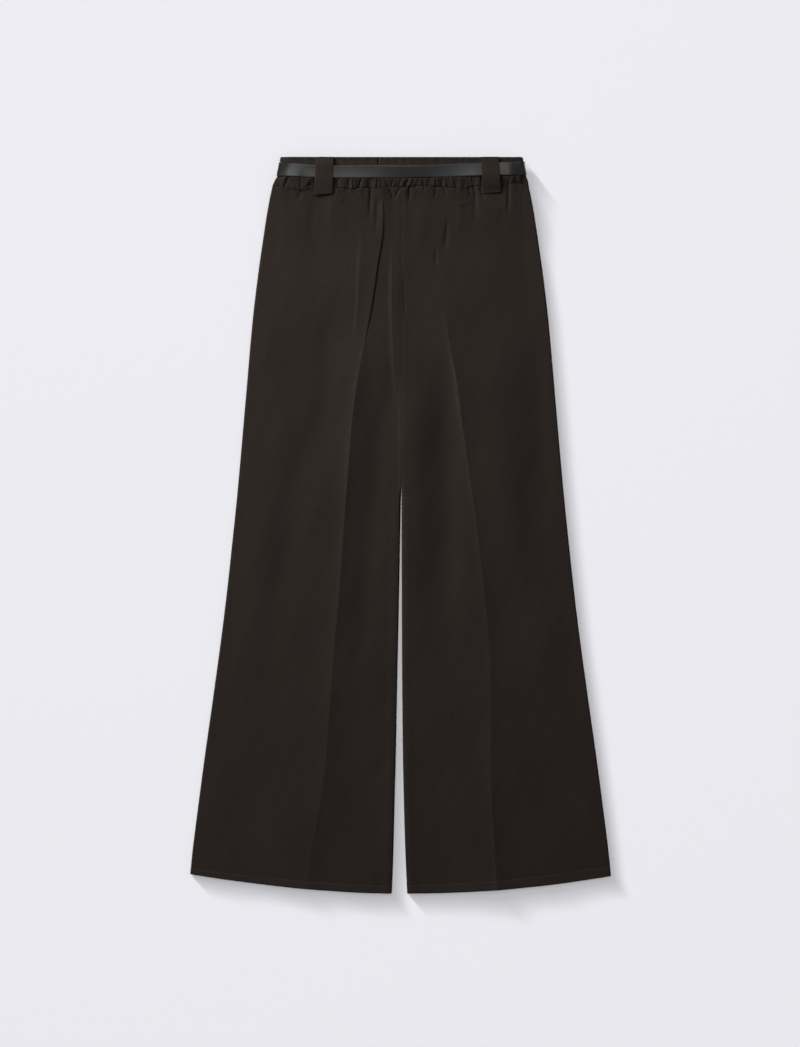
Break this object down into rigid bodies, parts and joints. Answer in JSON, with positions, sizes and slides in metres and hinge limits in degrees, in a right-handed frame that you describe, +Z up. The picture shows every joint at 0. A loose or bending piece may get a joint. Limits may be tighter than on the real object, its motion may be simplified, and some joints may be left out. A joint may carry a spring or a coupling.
{
  "type": "flared trousers",
  "caption": "Dark brown flared pull-on trousers laid flat, back up: gathered elastic waist, narrow belt in wide loops, pressed creases, curved hems.",
  "frame": {"origin": "middle of the laid garment, on the plane it lies on", "axes": "+Y towards the waist, +X to the wearer's right (the right of the picture), +Z up, out of the back of the trousers"},
  "size_m": [0.605, 1.0601, 0.0131],
  "materials": {
    "trouser_cloth": "fine heathered suiting with a faint sheen",
    "belt_leather": "smooth satin imitation leather",
    "buckle_metal": "dark satin metal"
  },
  "bodies": {
    "root": {"back_left": "trouser_cloth", "back_right": "trouser_cloth", "front_left": "trouser_cloth", "front_right": "trouser_cloth", "waistband": "trouser_cloth", "loop_back_left": "trouser_cloth", "loop_back_right": "trouser_cloth", "loop_front_left": "trouser_cloth", "loop_front_right": "trouser_cloth", "belt": "belt_leather", "buckle": "buckle_metal"}
  },
  "joints": []
}
